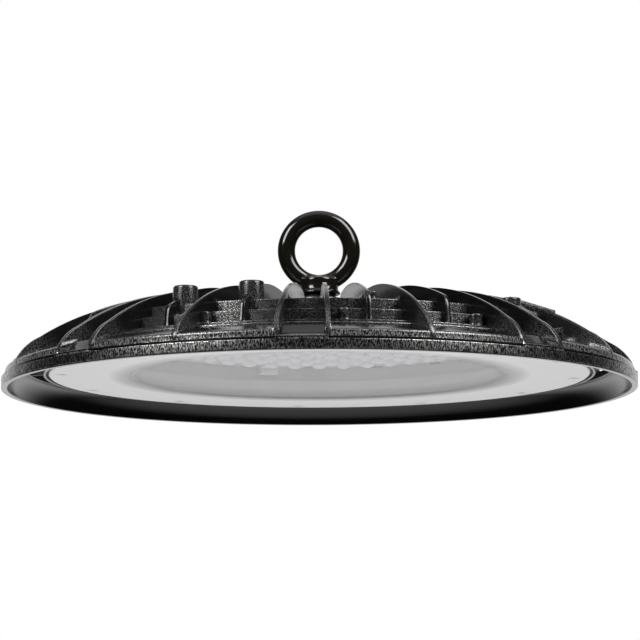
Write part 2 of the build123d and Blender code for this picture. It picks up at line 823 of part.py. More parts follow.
with BuildPart() as gland_cap:
    with BuildSketch(Plane.XY.offset(gland_cap_foot)):
        with Locations(*gland_spot):
            RegularPolygon(gland_hex_width / 2, 6, major_radius=False)
    extrude(amount=gland_cap_height)
    chamfer(gland_cap.edges().group_by(Axis.Z)[-1], length=gland_cap_round)
    with BuildSketch(Plane.XY.offset(gland_cap_foot)):
        with Locations(*gland_spot):
            Circle(gland_neck_radius + thread_gap)
    extrude(amount=gland_neck_top + close_gap - gland_cap_foot, mode=Mode.SUBTRACT)
    with BuildSketch(Plane.XY.offset(gland_cap_foot)):
        with Locations(*gland_spot):
            Circle(gland_bore_radius + screw_hole_extra)
    extrude(amount=gland_cap_height, mode=Mode.SUBTRACT)
gland_cap.part.label = "gland_cap"
export_step(gland_cap.part, "parts/gland_cap.step")
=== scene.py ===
# %% [markdown]
# # High bay light
#
# The object is a round factory lamp that hangs from an eye bolt. Its body is one black
# aluminium casting with forty arched fins, and a clear cover closes it from below. This
# lesson dresses the CAD frame of the lamp: it keeps the frame's places and sizes, and
# builds finer surfaces over it with numpy. The first cell loads the frame.

import bmesh
import bpy
import numpy as np
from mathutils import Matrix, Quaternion, Vector


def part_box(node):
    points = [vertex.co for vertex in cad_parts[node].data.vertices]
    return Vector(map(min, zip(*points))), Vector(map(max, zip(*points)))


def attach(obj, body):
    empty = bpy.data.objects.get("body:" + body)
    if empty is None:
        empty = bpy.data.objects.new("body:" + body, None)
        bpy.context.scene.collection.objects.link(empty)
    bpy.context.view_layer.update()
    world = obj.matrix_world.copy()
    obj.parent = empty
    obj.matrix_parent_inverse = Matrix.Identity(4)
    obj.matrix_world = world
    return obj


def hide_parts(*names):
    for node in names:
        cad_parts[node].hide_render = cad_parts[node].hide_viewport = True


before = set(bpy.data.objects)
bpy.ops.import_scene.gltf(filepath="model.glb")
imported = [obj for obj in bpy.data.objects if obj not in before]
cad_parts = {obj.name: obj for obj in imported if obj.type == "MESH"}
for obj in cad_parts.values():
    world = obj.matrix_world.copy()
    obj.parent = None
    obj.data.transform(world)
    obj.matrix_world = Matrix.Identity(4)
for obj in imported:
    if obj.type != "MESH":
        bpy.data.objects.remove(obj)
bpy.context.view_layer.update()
print("CAD nodes:", len(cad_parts))

# %% [markdown]
# ## Surfaces from grids
#
# Every new piece is a grid of points: rows one way, columns the other. Neighbouring
# points make four-sided faces. One helper turns such a grid into faces, a second one
# joins several grids into one mesh. Poles are rows of points that fall on one spot, and
# the weld at the end closes them. This is quicker and tidier than modelling by hand,
# because a shape stays a formula that can be read.

# %% Grid helpers
MM = 0.001


def shell(points, wrap_rows=False, wrap_columns=False):
    """Points and faces of a grid given as rows x columns x 3: each face joins a point,
    its neighbour in the row, and the same two in the next row. A wrapped direction
    joins its last line to its first."""
    rows, columns = points.shape[:2]
    index = np.arange(rows * columns).reshape(rows, columns)
    if wrap_rows:
        index = np.concatenate([index, index[:1]], axis=0)
    if wrap_columns:
        index = np.concatenate([index, index[:, :1]], axis=1)
    faces = np.stack(
        [index[:-1, :-1], index[:-1, 1:], index[1:, 1:], index[1:, :-1]], axis=-1
    )
    return points.reshape(-1, 3), faces.reshape(-1, 4)


def joined(shells):
    """One set of points and faces: each shell's face numbers are raised by the number
    of points before it."""
    before = np.cumsum([0] + [len(points) for points, faces in shells[:-1]])
    points = np.concatenate([points for points, faces in shells])
    faces = np.concatenate([s[1] + start for s, start in zip(shells, before)])
    return points, faces


def new_mesh(name, shells):
    """Mesh in metres from shells in millimetres, with doubles merged, so that seams and
    poles are closed, and with faces turned outwards."""
    points, faces = joined(shells)
    mesh = bpy.data.meshes.new(name)
    mesh.from_pydata((points * MM).tolist(), [], faces.tolist())
    work = bmesh.new()
    work.from_mesh(mesh)
    bmesh.ops.remove_doubles(work, verts=work.verts, dist=0.002 * MM)
    bmesh.ops.recalc_face_normals(work, faces=work.faces)
    work.to_mesh(mesh)
    work.free()
    return mesh


# %% [markdown]
# ## Profiles
#
# Cast and moulded parts have no knife edges. Each profile is a list of corners in
# radius and height, and every corner has its own rounding. Rounded edges are what
# catch the light of a studio, so they matter more to the look than any texture does.

# %% Profile helpers
def rounded(corners, steps=5, closed=True):
    """Outline through corners (radius, height, rounding). A corner is replaced by the
    curve (1-u)^2 start + 2u(1-u) corner + u^2 end, where start and end lie one rounding
    away from it on its two sides, at most 0.49 of a side."""
    table = np.array(corners, float)
    spot, size = table[:, :2], table[:, 2:3]
    to_last = np.roll(spot, 1, axis=0) - spot
    to_next = np.roll(spot, -1, axis=0) - spot
    last_length = np.linalg.norm(to_last, axis=1, keepdims=True)
    next_length = np.linalg.norm(to_next, axis=1, keepdims=True)
    start = spot + to_last / last_length * np.minimum(size, 0.49 * last_length)
    end = spot + to_next / next_length * np.minimum(size, 0.49 * next_length)
    u = np.linspace(0, 1, steps)[None, :, None]
    curve = (1 - u) ** 2 * start[:, None] + 2 * u * (1 - u) * spot[:, None] + u**2 * end[:, None]
    if not closed:
        curve[0] = spot[0]
        curve[-1] = spot[-1]
    return curve.reshape(-1, 2)


def turned(profile, angles, centre=(0.0, 0.0), sides=0):
    """Surface of revolution: every profile point (radius, height) at every angle, in
    radians from the front (-Y) towards +X. With sides, the radius is divided by the
    cosine of the angle to the middle of the nearest side, which gives a prism."""
    reach = np.ones_like(angles)
    if sides:
        step = 2 * np.pi / sides
        reach = 1 / np.cos((angles + step / 2) % step - step / 2)
    radius = profile[:, 0][None, :] * reach[:, None]
    x = centre[0] + radius * np.sin(angles)[:, None]
    y = centre[1] - radius * np.cos(angles)[:, None]
    z = np.broadcast_to(profile[:, 1][None, :], radius.shape)
    return np.stack([x, y, z], axis=-1)


def full_turn(steps):
    """Angles of one whole turn, in radians, without the repeated last one."""
    return np.linspace(0, 2 * np.pi, steps, endpoint=False)


def on_circle(radius, degrees):
    """(x, y) of a spot on a circle, its angle turned from the front towards +X."""
    angle = np.radians(degrees)
    return radius * np.sin(angle), -radius * np.cos(angle)


def through(first, middle, last, steps):
    """Arc of a circle through three points: the centre is as far from all three."""
    a, b, c = (np.array(p, float) for p in (first, middle, last))
    centre = np.linalg.solve(
        2 * np.array([b - a, c - a]), np.array([b @ b - a @ a, c @ c - a @ a])
    )
    bearing = [np.arctan2(*(p - centre)[::-1]) for p in (a, b, c)]
    bearing = np.unwrap(bearing)
    angle = np.linspace(bearing[0], bearing[2], steps)
    size = np.linalg.norm(a - centre)
    return centre + size * np.stack([np.cos(angle), np.sin(angle)], axis=-1)


# %% [markdown]
# ## Shading helpers
#
# Two effects are used by more than one finish, so each is a node group. The first is the
# grain of textured powder coat: small soft bumps, about half a millimetre across. The second is the
# faint unevenness that any moulded, printed or plated surface has. Both read Object
# coordinates, so they stay on the piece when the view changes.

# %% Grain group
def group_socket(group, name, way, kind="NodeSocketFloat", value=None):
    """Adds one named input or output to a node group."""
    made = group.interface.new_socket(name, in_out=way, socket_type=kind)
    if value is not None:
        made.default_value = value


def make_grain_group():
    """Height = a noise times Amount. Speckle = the same noise, raised in contrast, which
    marks where the coat stands proud. Metal = the same again with a lower threshold, so
    that every speck is a facet that mirrors and does not scatter."""
    group = bpy.data.node_groups.new("coat_grain", "ShaderNodeTree")
    group_socket(group, "Scale", "INPUT", value=900.0)
    group_socket(group, "Amount", "INPUT", value=1.0)
    group_socket(group, "Squeeze", "INPUT", value=1.0)
    group_socket(group, "Height", "OUTPUT")
    group_socket(group, "Speckle", "OUTPUT")
    group_socket(group, "Metal", "OUTPUT")
    nodes, links = group.nodes, group.links
    inside = nodes.new("NodeGroupInput")
    outside = nodes.new("NodeGroupOutput")
    where = nodes.new("ShaderNodeTexCoord")
    stretch = nodes.new("ShaderNodeCombineXYZ")
    stretch.inputs["X"].default_value = 1.0
    stretch.inputs["Y"].default_value = 1.0
    place = nodes.new("ShaderNodeVectorMath")
    place.operation = "MULTIPLY"
    coarse = nodes.new("ShaderNodeTexNoise")
    coarse.inputs["Detail"].default_value = 1.0
    coarse.inputs["Roughness"].default_value = 0.4
    contrast = nodes.new("ShaderNodeMapRange")
    contrast.inputs["From Min"].default_value = 0.44
    contrast.inputs["From Max"].default_value = 0.62
    facets = nodes.new("ShaderNodeMapRange")
    facets.inputs["From Min"].default_value = 0.40
    facets.inputs["From Max"].default_value = 0.45
    raised = nodes.new("ShaderNodeMath")
    raised.operation = "MULTIPLY"
    speckle = nodes.new("ShaderNodeMath")
    speckle.operation = "MULTIPLY"
    metal = nodes.new("ShaderNodeMath")
    metal.operation = "MULTIPLY"
    links.new(inside.outputs["Squeeze"], stretch.inputs["Z"])
    links.new(where.outputs["Object"], place.inputs[0])
    links.new(stretch.outputs["Vector"], place.inputs[1])
    links.new(place.outputs["Vector"], coarse.inputs["Vector"])
    links.new(inside.outputs["Scale"], coarse.inputs["Scale"])
    links.new(coarse.outputs["Fac"], contrast.inputs["Value"])
    links.new(coarse.outputs["Fac"], raised.inputs[0])
    links.new(inside.outputs["Amount"], raised.inputs[1])
    links.new(contrast.outputs["Result"], speckle.inputs[0])
    links.new(inside.outputs["Amount"], speckle.inputs[1])
    links.new(coarse.outputs["Fac"], facets.inputs["Value"])
    links.new(facets.outputs["Result"], metal.inputs[0])
    links.new(inside.outputs["Amount"], metal.inputs[1])
    links.new(raised.outputs["Value"], outside.inputs["Height"])
    links.new(speckle.outputs["Value"], outside.inputs["Speckle"])
    links.new(metal.outputs["Value"], outside.inputs["Metal"])
    return group


grain_group = make_grain_group()
print("Group:", grain_group.name)


# %% Unevenness group
def make_uneven_group():
    """Colour = the given colour, darkened by a soft noise by up to Spread. Roughness =
    the given roughness, raised by the same noise by up to Spread."""
    group = bpy.data.node_groups.new("uneven", "ShaderNodeTree")
    group_socket(group, "Colour", "INPUT", "NodeSocketColor")
    group_socket(group, "Base Roughness", "INPUT", value=0.4)
    group_socket(group, "Spread", "INPUT", value=0.1)
    group_socket(group, "Scale", "INPUT", value=60.0)
    group_socket(group, "Colour", "OUTPUT", "NodeSocketColor")
    group_socket(group, "Roughness", "OUTPUT")
    nodes, links = group.nodes, group.links
    inside = nodes.new("NodeGroupInput")
    outside = nodes.new("NodeGroupOutput")
    where = nodes.new("ShaderNodeTexCoord")
    noise = nodes.new("ShaderNodeTexNoise")
    noise.inputs["Detail"].default_value = 3.0
    share = nodes.new("ShaderNodeMath")
    share.operation = "MULTIPLY"
    darker = nodes.new("ShaderNodeMath")
    darker.operation = "SUBTRACT"
    darker.inputs[0].default_value = 1.0
    tint = nodes.new("ShaderNodeVectorMath")
    tint.operation = "SCALE"
    rougher = nodes.new("ShaderNodeMath")
    rougher.operation = "ADD"
    links.new(where.outputs["Object"], noise.inputs["Vector"])
    links.new(inside.outputs["Scale"], noise.inputs["Scale"])
    links.new(noise.outputs["Fac"], share.inputs[0])
    links.new(inside.outputs["Spread"], share.inputs[1])
    links.new(share.outputs["Value"], darker.inputs[1])
    links.new(inside.outputs["Colour"], tint.inputs[0])
    links.new(darker.outputs["Value"], tint.inputs["Scale"])
    links.new(share.outputs["Value"], rougher.inputs[0])
    links.new(inside.outputs["Base Roughness"], rougher.inputs[1])
    links.new(tint.outputs["Vector"], outside.inputs["Colour"])
    links.new(rougher.outputs["Value"], outside.inputs["Roughness"])
    return group


uneven_group = make_uneven_group()
print("Group:", uneven_group.name)


# %% Plain finishes
def new_finish(name):
    """A material with its Principled shader, and its node tree."""
    material = bpy.data.materials.new(name)
    material.use_nodes = True
    return material, material.node_tree, material.node_tree.nodes["Principled BSDF"]


def uneven_finish(name, colour, roughness, spread=0.08, scale=60.0, **uniform):
    """A plain finish with the unevenness group on its colour and roughness. Values that
    are the same all over are set on the shader's own sockets."""
    material, tree, shader = new_finish(name)
    uneven = tree.nodes.new("ShaderNodeGroup")
    uneven.node_tree = uneven_group
    uneven.inputs["Colour"].default_value = (*colour, 1.0)
    uneven.inputs["Base Roughness"].default_value = roughness
    uneven.inputs["Spread"].default_value = spread
    uneven.inputs["Scale"].default_value = scale
    tree.links.new(uneven.outputs["Colour"], shader.inputs["Base Color"])
    tree.links.new(uneven.outputs["Roughness"], shader.inputs["Roughness"])
    for socket, value in uniform.items():
        shader.inputs[socket.replace("_", " ")].default_value = value
    return material


black_steel = uneven_finish("black_steel", (0.008, 0.007, 0.0055), 0.11, 0.03, 180.0)
washer_steel = uneven_finish("washer_steel", (0.02, 0.02, 0.02), 0.4, 0.2, 300.0, Metallic=0.6)
white_plastic = uneven_finish("white_plastic", (0.78, 0.77, 0.755), 0.35, 0.04, 40.0)
block_plastic = uneven_finish("block_plastic", (0.86, 0.86, 0.88), 0.4, 0.05, 90.0)
# The board is white, but its colour is set greyer than the reflector's as painted shade for its place deep
# in the cavity.
board_white = uneven_finish("board_white", (0.66, 0.66, 0.68), 0.45, 0.05, 80.0)
gasket_rubber = uneven_finish("gasket_rubber", (0.78, 0.78, 0.78), 0.6, 0.06, 120.0)
screw_steel = uneven_finish("screw_steel", (0.70, 0.70, 0.71), 0.38, 0.10, 400.0, Metallic=0.25)
led_yellow = uneven_finish("led_yellow", (0.85, 0.62, 0.12), 0.4, 0.1, 900.0)
pad_grey = uneven_finish("pad_grey", (0.35, 0.36, 0.38), 0.8, 0.1, 100.0)
chip_black = uneven_finish("chip_black", (0.02, 0.02, 0.022), 0.45, 0.15, 500.0)
fuse_green = uneven_finish("fuse_green", (0.08, 0.25, 0.12), 0.4, 0.1, 300.0)
varistor_blue = uneven_finish("varistor_blue", (0.03, 0.10, 0.32), 0.35, 0.1, 300.0)
gland_plastic = uneven_finish("gland_plastic", (0.02, 0.02, 0.021), 0.4, 0.12, 200.0)
gland_rubber = uneven_finish("gland_rubber", (0.025, 0.025, 0.025), 0.75, 0.1, 300.0)
print("Plain finishes:", len(bpy.data.materials))

# %% [markdown]
# ## Clear finishes
#
# The cover is a clear disc. Real glass would bend the view, which asks for a renderer's
# refraction and bakes badly, so it is a glossy skin that lets most of the light pass.
# The lens domes are moulded from milky clear plastic and hide the chips.

# %% Clear finishes
def make_cover_finish():
    """Clear in the middle, milky and matt where it lies on the reflector's flange: alpha
    and roughness rise with the distance from the axis minus 20 times the height. That
    is 0.14 less than the distance on the lower face, at 7 mm, and far less on the upper
    one, which stays clear."""
    material = uneven_finish("clear_cover", (0.80, 0.795, 0.80), 0.06, 0.03, 20.0)
    tree = material.node_tree
    where = tree.nodes.new("ShaderNodeTexCoord")
    split = tree.nodes.new("ShaderNodeSeparateXYZ")
    lower_face = tree.nodes.new("ShaderNodeMath")
    lower_face.operation = "MULTIPLY_ADD"
    lower_face.inputs[1].default_value = -20.0
    flat = tree.nodes.new("ShaderNodeVectorMath")
    flat.operation = "MULTIPLY"
    flat.inputs[1].default_value = (1.0, 1.0, 0.0)
    reach = tree.nodes.new("ShaderNodeVectorMath")
    reach.operation = "LENGTH"
    alpha = tree.nodes.new("ShaderNodeMapRange")
    alpha.inputs["From Min"].default_value = 0.092 - 0.14
    alpha.inputs["From Max"].default_value = 0.107 - 0.14
    alpha.inputs["To Min"].default_value = 0.2
    alpha.inputs["To Max"].default_value = 0.92
    matt = tree.nodes.new("ShaderNodeMapRange")
    matt.inputs["From Min"].default_value = 0.088 - 0.14
    matt.inputs["From Max"].default_value = 0.098 - 0.14
    matt.inputs["To Min"].default_value = 0.06
    matt.inputs["To Max"].default_value = 0.8
    shader = tree.nodes["Principled BSDF"]
    tree.links.new(where.outputs["Object"], flat.inputs[0])
    tree.links.new(flat.outputs["Vector"], reach.inputs[0])
    tree.links.new(where.outputs["Object"], split.inputs["Vector"])
    tree.links.new(split.outputs["Z"], lower_face.inputs[0])
    tree.links.new(reach.outputs["Value"], lower_face.inputs[2])
    tree.links.new(lower_face.outputs["Value"], alpha.inputs["Value"])
    tree.links.new(lower_face.outputs["Value"], matt.inputs["Value"])
    tree.links.new(alpha.outputs["Result"], shader.inputs["Alpha"])
    tree.links.new(matt.outputs["Result"], shader.inputs["Roughness"])
    return material


clear_cover = make_cover_finish()
lens_plastic = uneven_finish("lens_plastic", (0.76, 0.765, 0.79), 0.22, 0.05, 150.0, Alpha=0.88)
print("Clear finishes:", clear_cover.name, lens_plastic.name)

# %% [markdown]
# ## Powder coat
#
# The casting has a black powder coat. Where the mould was etched the coat is grainy and
# glitters grey in the softboxes, and on the fins' flanks and in the scoops it is smooth.
# One material does both: a point attribute named grain on each piece says how rough the
# spot is, and scales the bump and the speckle.

# %% Powder coat
def make_powder_coat(name, scale, squeeze, glitter):
    """The grain attribute scales the grain group. Its height feeds a bump, its speckle
    lightens the black, and its metal mask lets the specks mirror as facets do."""
    material, tree, shader = new_finish(name)
    nodes, links = tree.nodes, tree.links
    amount = nodes.new("ShaderNodeAttribute")
    amount.attribute_name = "grain"
    grain = nodes.new("ShaderNodeGroup")
    grain.node_tree = grain_group
    grain.inputs["Scale"].default_value = scale
    grain.inputs["Squeeze"].default_value = squeeze
    bump = nodes.new("ShaderNodeBump")
    bump.inputs["Strength"].default_value = 1.0
    bump.inputs["Distance"].default_value = 0.00010
    colour = nodes.new("ShaderNodeMix")
    colour.data_type = "RGBA"
    colour.inputs["A"].default_value = (0.003, 0.003, 0.0031, 1.0)
    colour.inputs["B"].default_value = (glitter, glitter, 0.98 * glitter, 1.0)
    rough = nodes.new("ShaderNodeMapRange")
    rough.inputs["To Min"].default_value = 0.18
    rough.inputs["To Max"].default_value = 0.28
    links.new(amount.outputs["Fac"], grain.inputs["Amount"])
    links.new(amount.outputs["Fac"], rough.inputs["Value"])
    links.new(grain.outputs["Height"], bump.inputs["Height"])
    links.new(grain.outputs["Speckle"], colour.inputs["Factor"])
    links.new(grain.outputs["Metal"], shader.inputs["Metallic"])
    links.new(colour.outputs["Result"], shader.inputs["Base Color"])
    links.new(rough.outputs["Result"], shader.inputs["Roughness"])
    links.new(bump.outputs["Normal"], shader.inputs["Normal"])
    return material


powder_coat = make_powder_coat("powder_coat", 2000.0, 1.0, 0.27)
band_coat = make_powder_coat("band_coat", 2300.0, 0.3, 0.72)
print("Coats:", powder_coat.name, band_coat.name)


# %% [markdown]
# ## Making a piece
#
# Every piece ends the same way: it gets its finish in a material slot, smooth shading that
# stops at sharp edges and the CAD body it rides on, and the CAD nodes it replaces are hidden.

# %% Piece helper
def smooth_step(value, low, high):
    """0 below low, 1 above high, and 3t^2 - 2t^3 between them."""
    t = np.clip((value - low) / (high - low), 0, 1)
    return t * t * (3 - 2 * t)


def coords(mesh):
    """Points of a mesh as an array, in millimetres."""
    points = np.empty(len(mesh.vertices) * 3, np.float32)
    mesh.vertices.foreach_get("co", points)
    return points.reshape(-1, 3).astype(float) / MM


def set_grain(mesh, rule):
    """Writes the grain attribute: rule(radius, height, angle in degrees) at each point."""
    x, y, z = coords(mesh).T
    values = rule(np.hypot(x, y), z, np.degrees(np.arctan2(x, -y)))
    layer = mesh.attributes.new("grain", "FLOAT", "POINT")
    layer.data.foreach_set("value", np.broadcast_to(values, x.shape).astype(np.float32))


def piece(name, mesh, material, replaced=(), sharp=38.0):
    """Object at the origin with its place in its mesh, dressed and tied to the frame."""
    thing = bpy.data.objects.new(name, mesh)
    bpy.context.scene.collection.objects.link(thing)
    mesh.materials.append(material)
    mesh.shade_smooth()
    mesh.set_sharp_from_angle(angle=np.radians(sharp))
    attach(thing, "root")
    if replaced:
        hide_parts(*replaced)
    print(f"{name}: {len(mesh.polygons)} faces")
    return thing


# %% [markdown]
# ## Sizes of the casting
#
# The frame says where everything is. The radii and heights below are the casting's own,
# in millimetres from the centre of the rim's lower edge, and the rest follows from them.

# %% Casting sizes
box_low, box_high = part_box("heat_sink")
rim_radius = box_high.x / MM
lip_radius = rim_radius - 3.0
upper_band_radius = rim_radius - 2.0
ring_bore = rim_radius - 12.5
flange_radius = ring_bore - 8.5
upper_wall = 119.0
lower_wall = 125.5
cavity = 115.5
lower_cavity = 121.0
lip_bore = flange_radius - 1.5
foot_edge = lower_wall + 8.0

seat = 10.4
band_top = 6.5
upper_band_top = 9.8
crown_top = 13.3
crown_foot = 10.0
flange_top = 16.0
foot_top = 17.8
lower_wall_top = 24.0
ledge_top = 24.5
plate_under = 26.5
plate_top = 30.0
ridge_top = 41.9

fin_count = 40
first_fin = 1.56
sector = 360 / fin_count
print("Rim radius:", round(rim_radius, 2))

# %% [markdown]
# ## Ring
#
# The outer ring is a revolved band with a stepped outside, a narrow groove and a sloping
# crown. In every fifth gap between fins the band gives way to a smooth hollow scoop. So
# the surface is a blend of two outlines with the same number of points: the column's
# angle decides which one it takes. The change falls inside the width of a fin, where no
# one sees it.

# %% Ring
scoop_arc = through(
    (rim_radius - 0.7, band_top), (rim_radius - 5.95, 8.2), (ring_bore, crown_top), 6
)
skirt = through((ring_bore, crown_foot), (rim_radius - 6.1, 6.4), (lip_radius, 0.0), 9)
skirt_corners = [(*spot, 0.7) for spot in skirt[1:-1]]
band_outline = rounded(
    [(ring_bore, crown_foot, 0.3)]
    + skirt_corners
    + [
        (lip_radius, 0.0, 0.3),
        (rim_radius, 0.0, 0.4),
        (rim_radius, 1.0, 0.05),
        (rim_radius, 5.1, 0.25),
        (rim_radius - 1.1, 5.3, 0.1),
        (rim_radius - 1.1, band_top, 0.1),
        (upper_band_radius, band_top, 0.1),
        (upper_band_radius, upper_band_top, 1.2),
        (ring_bore, crown_top, 0.6),
    ],
    steps=6,
)
scoop_outline = rounded(
    [(ring_bore, crown_foot, 0.3)]
    + skirt_corners
    + [
        (lip_radius, 0.0, 0.3),
        (rim_radius, 0.0, 0.4),
        (rim_radius, 1.0, 0.05),
        (rim_radius, 4.8, 0.05),
        (rim_radius, 6.0, 0.05),
        (rim_radius, band_top, 0.5),
        (*scoop_arc[0], 0.2),
        (*scoop_arc[2], 1.2),
        (ring_bore, crown_top, 0.6),
    ],
    steps=6,
)


def ring_surface():
    """Point = (1 - w) band outline + w scoop outline, turned about the axis. w is 1 in
    the sector before every fifth fin and 0 elsewhere."""
    inside_sector = np.concatenate([[0.012], np.linspace(0.08, 0.92, 10), [0.988]])
    positions = np.arange(fin_count)[:, None]
    angles = np.radians(first_fin + (positions + inside_sector[None, :]) * sector).ravel()
    scooped = np.broadcast_to(positions % 5 == 4, (fin_count, len(inside_sector)))
    weight = scooped.ravel().astype(float)[:, None, None]
    outline = (1 - weight) * band_outline[None] + weight * scoop_outline[None]
    x = outline[..., 0] * np.sin(angles)[:, None]
    y = -outline[..., 0] * np.cos(angles)[:, None]
    return np.stack([x, y, outline[..., 1]], axis=-1)


def ring_grain(radius, height, angle):
    """Grain only on the outside bands and the sloping crown, not in scoops or inside."""
    place = ((angle - first_fin) / sector) % 5
    scooped = smooth_step(place, 3.98, 4.02) * (height > band_top + 0.1)
    outside = smooth_step(radius, upper_band_radius - 0.8, upper_band_radius - 0.2)
    edge = smooth_step(height, 5.0, 5.2) * (1 - smooth_step(height, 6.4, 6.6))
    lip = smooth_step(height, 0.3, 1.0) * (1 - edge) * (1 - 0.68 * smooth_step(height, 6.5, 6.8))
    return outside * lip * (1 - scooped)


ring_mesh = new_mesh("ring", [shell(ring_surface(), True, True)])
set_grain(ring_mesh, ring_grain)
piece("ring", ring_mesh, band_coat, ["heat_sink"])

# %% [markdown]
# ## Body
#
# The body is a revolved dish: top plate, two stepped walls, a foot and a flange, with the
# cavity for the board below. Each step of the wall has a soft casting edge.

# %% Body
body_outline = rounded(
    [
        (0.0, plate_top, 0.0),
        (upper_wall, plate_top, 0.6),
        (upper_wall, ledge_top, 0.5),
        (lower_wall, lower_wall_top, 0.4),
        (lower_wall, foot_top, 0.5),
        (foot_edge, foot_top, 0.4),
        (foot_edge, flange_top, 0.3),
        (flange_radius, flange_top, 0.8),
        (flange_radius, 7.0, 0.5),
        (lip_bore, 7.0, 0.4),
        (lip_bore, seat, 0.2),
        (lower_cavity, seat, 0.3),
        (lower_cavity, 21.0, 0.4),
        (cavity, 21.0, 0.4),
        (cavity, plate_under, 0.4),
        (0.0, plate_under, 0.0),
    ],
    closed=False,
)


def body_grain(radius, height, angle):
    """Grain on the walls, the foot and the flange's edge; the top and inside are finer."""
    walls = (radius > upper_wall - 1.3) * (height < plate_top - 0.3)
    return np.where(walls & (height > 15.0), 0.75, 0.3)


body_mesh = new_mesh("body", [shell(turned(body_outline, full_turn(320)), True)])
set_grain(body_mesh, body_grain)
piece("body", body_mesh, powder_coat, ["heat_sink"])

# %% [markdown]
# ## Fins
#
# A fin is a drafted blade: wide at the foot, narrow and round at the ridge. The ridge is
# a line in radius and height made of three arcs. The grid runs along that line one way
# and across the blade the other way: up one flank, over the round ridge and down the
# other. Castings swell where a fin meets a wall, so each flank moves out near the body
# and the ring, by an amount that falls with the distance to their outline.

# %% Fin ridges
knee = (upper_band_radius - 12.0, upper_band_top + 11.4)
shoulder = (upper_wall - 18.0, ridge_top - 2.2)
crest_start = (66.0, ridge_top - 1.0)
fin_start = 57.0
lean_foot = (upper_wall + 10.5, foot_top)
lean_top = (upper_wall + 7.5, ridge_top + 1)


def tangent_rise(steps):
    """Arc that leaves the plate straight up and ends at the crest: its centre is level
    with its start."""
    run = crest_start[0] - fin_start
    rise = crest_start[1] - plate_top
    size = (run**2 + rise**2) / (2 * run)
    sweep = np.arctan2(rise, size - run)
    angle = np.linspace(0, sweep, steps)
    return np.stack(
        [fin_start + size * (1 - np.cos(angle)), plate_top + size * np.sin(angle)], axis=-1
    )


def bend(start, corner, end, steps=7):
    """Corner softened to (1-u)^2 start + 2u(1-u) corner + u^2 end."""
    u = np.linspace(0, 1, steps)[:, None]
    return (1 - u) ** 2 * start + 2 * u * (1 - u) * corner + u**2 * end


def along(line, spacing):
    """The same line with points a given spacing apart, measured along it."""
    lengths = np.linalg.norm(np.diff(line, axis=0), axis=1)
    place = np.concatenate([[0], np.cumsum(lengths)])
    wanted = np.linspace(0, place[-1], max(3, int(place[-1] / spacing) + 1))
    return np.stack([np.interp(wanted, place, line[:, axis]) for axis in (0, 1)], axis=-1)


crest = through(crest_start, ((66.0 + shoulder[0]) / 2, ridge_top), shoulder, 24)
slope_middle = ((shoulder[0] + knee[0]) / 2, (shoulder[1] + knee[1]) / 2 + 2.5)
slope = through(shoulder, slope_middle, knee, 60)
drop_middle = (
    (knee[0] + upper_band_radius) / 2 + 1,
    (knee[1] + upper_band_top) / 2 + 0.9,
)
drop = through(knee, drop_middle, (upper_band_radius, upper_band_top), 14)
band_end = [(upper_band_radius + 0.05, upper_band_top - 0.8), (upper_band_radius + 0.05, 6.3)]
long_ridge = np.concatenate([tangent_rise(14), crest[1:], slope[1:], drop[1:-1], band_end])


def cut_by_lean(ridge, softness):
    """The ridge up to the leaning outer edge of a short fin, a soft corner, and the edge
    down to the foot."""
    edge = lean_foot[0] + (lean_top[0] - lean_foot[0]) * (ridge[:, 1] - lean_foot[1]) / (
        lean_top[1] - lean_foot[1]
    )
    kept = ridge[ridge[:, 0] < edge]
    corner = kept[-1]
    away = np.linalg.norm(kept - corner, axis=1)
    kept = kept[away > softness]
    down = np.array(lean_foot) - corner
    end = corner + down / np.linalg.norm(down) * softness
    return np.concatenate(
        [kept, bend(kept[-1], corner, end), [lean_foot], [(lean_foot[0], flange_top + 0.5)]]
    )


post_circle = upper_wall - 5.5
hollow = through(
    (post_circle, plate_top + 8.0), (post_circle + 8.5, plate_top + 1.2), (130.5, plate_top - 2.2), 24
)
before_post = long_ridge[long_ridge[:, 0] < post_circle]
short_ridge = cut_by_lean(long_ridge, 4.0)
post_ridge = cut_by_lean(np.concatenate([before_post, hollow]), 2.5)
print("Ridge points:", len(long_ridge), len(short_ridge), len(post_ridge))

# %% Fin surface
fin_floor = np.array(
    [
        (fin_start, 28.0),
        (117.0, 28.0),
        (119.5, 22.5),
        (124.0, 21.5),
        (126.0, 13.5),
        (137.0, 13.5),
        (138.4, 10.5),
        (148.2, 10.5),
        (153.75, 8.5),
        (158.5, 5.8),
    ]
)
casting_line = np.array(
    [
        [(0.0, plate_top), (upper_wall, plate_top)],
        [(upper_wall, plate_top), (upper_wall, ledge_top)],
        [(upper_wall, ledge_top), (lower_wall, lower_wall_top)],
        [(lower_wall, lower_wall_top), (lower_wall, foot_top)],
        [(lower_wall, foot_top), (foot_edge, foot_top)],
        [(foot_edge, flange_top), (flange_radius, flange_top)],
        [(flange_radius, flange_top), (flange_radius, 8.0)],
        [(ring_bore, crown_foot), (ring_bore, crown_top)],
        [(ring_bore, crown_top), (upper_band_radius, upper_band_top)],
    ]
)
foot_half, top_half = 1.45, 0.95
swell, swell_reach = 0.55, 1.8


def distance_to_casting(r, z):
    """Least distance from each (radius, height) to the segments of the casting's
    outline: the foot of the perpendicular is clipped to the segment."""
    spot = np.stack([r, z], axis=-1)[..., None, :]
    start = casting_line[:, 0]
    line = casting_line[:, 1] - start
    share = np.clip(((spot - start) * line).sum(-1) / (line**2).sum(-1), 0, 1)
    return np.linalg.norm(spot - start - share[..., None] * line, axis=-1).min(-1)


